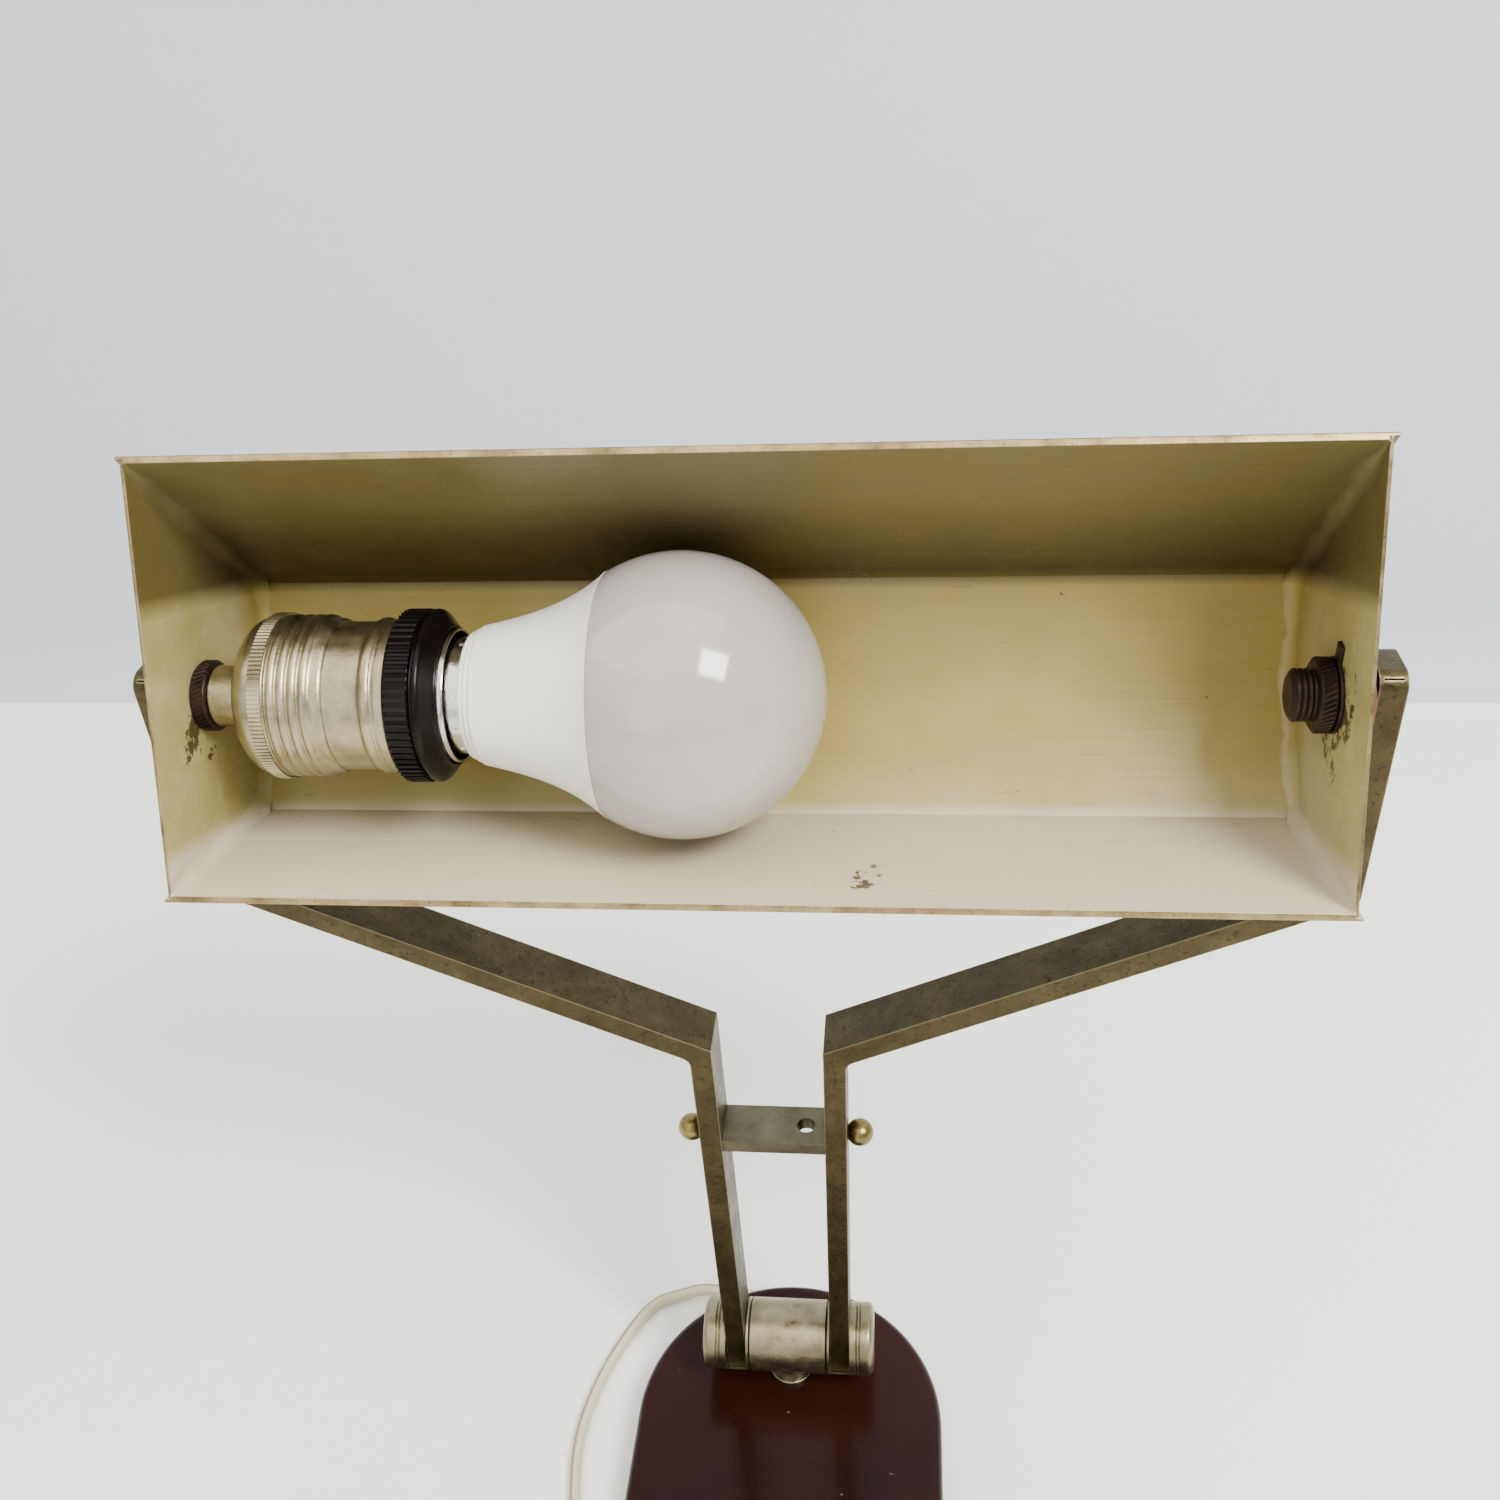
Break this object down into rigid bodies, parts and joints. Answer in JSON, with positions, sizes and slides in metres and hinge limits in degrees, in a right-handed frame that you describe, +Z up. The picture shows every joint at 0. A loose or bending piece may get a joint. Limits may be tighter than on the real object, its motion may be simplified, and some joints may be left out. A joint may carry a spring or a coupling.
{
  "type": "architect desk lamp",
  "caption": "Desk lamp with a trough shade held between two cranked arms that tilt and swivel on a rounded cast base.",
  "frame": {"origin": "centre of the base underside", "axes": "+Z up, -Y to the front of the lamp (the long end of the base and the mouth of the shade), +X to the right seen from the front"},
  "size_m": [0.2763, 0.1604, 0.3045],
  "materials": {
    "base_enamel": "gloss enamel over cast iron",
    "felt": "wool felt",
    "plain_steel": "plain",
    "hinge_nickel": "worn nickel plate",
    "arm_bronze": "worn bronzed plate",
    "screw_brass": "turned",
    "shade_enamel": "aged cream enamel",
    "dark_steel": "blackened",
    "holder_nickel": "nickel plated",
    "bakelite": "moulded",
    "porcelain": "glazed",
    "contact_brass": "plain",
    "bulb_white": "satin",
    "bulb_diffuser": "frosted",
    "fibre": "vulcanised fibre",
    "cord_cream": "satin",
    "lead_brown": "plain",
    "plug_cream": "moulded",
    "board_white": "plain"
  },
  "bodies": {
    "base": {"base_casting": "base_enamel", "base_cover": "plain_steel", "felt_pad": "felt", "cover_screws": "plain_steel", "base_lead": "lead_brown", "cord_bushing": "cord_cream", "cord_tube": "cord_cream", "cord_coil": "cord_cream", "cord_tie": "lead_brown", "cord_tail": "cord_cream", "plug_body": "plug_cream", "plug_pins": "holder_nickel"},
    "swivel": {"post_washer": "hinge_nickel", "swivel_post": "hinge_nickel", "barrel_centre": "hinge_nickel", "spring_washer": "plain_steel", "post_nut": "plain_steel", "post_lead": "lead_brown"},
    "arms": {"arm_left": "arm_bronze", "arm_right": "arm_bronze", "barrel_end_left": "hinge_nickel", "barrel_end_right": "hinge_nickel", "hinge_axle": "plain_steel", "friction_washers": "fibre", "crossbar": "arm_bronze", "ball_screws": "screw_brass", "arm_lead": "lead_brown"},
    "shade": {"shade_trough": "shade_enamel", "end_plate_left": "shade_enamel", "end_plate_right": "shade_enamel", "pivot_spacers": "dark_steel", "fibre_washers": "fibre", "arm_nuts": "dark_steel", "nut_left": "dark_steel", "nut_right": "dark_steel", "lug_washer": "dark_steel", "stud_right": "dark_steel", "nipple_left": "dark_steel", "holder_cap": "holder_nickel", "knurled_ring": "holder_nickel", "holder_shell": "holder_nickel", "bakelite_ring": "bakelite", "porcelain_insulator": "porcelain", "screw_shell": "contact_brass", "centre_contact": "contact_brass", "terminal_screws": "contact_brass", "holder_lead": "lead_brown"},
    "bulb": {"bulb_cap": "holder_nickel", "bulb_contact": "bakelite", "bulb_body": "bulb_white", "bulb_globe": "bulb_diffuser", "led_board": "board_white"}
  },
  "joints": [
    {"name": "base_swivel", "type": "hinge", "parent": "base", "child": "swivel", "pos_m": [0, 0.046, 0.014], "axis": [0, 0, 1], "range_deg": [-80, 80]},
    {"name": "arm_lean", "type": "hinge", "parent": "swivel", "child": "arms", "pos_m": [0, 0.046, 0.0296], "axis": [1, 0, 0], "range_deg": [-35, 70]},
    {"name": "shade_tilt", "type": "hinge", "parent": "arms", "child": "shade", "pos_m": [0, 0.046, 0.2487], "axis": [1, 0, 0], "range_deg": [-70, 135]},
    {"name": "bulb_unscrew", "type": "slide", "parent": "shade", "child": "bulb", "axis": [1, 0, 0], "range_m": [0, 0.028]}
  ]
}
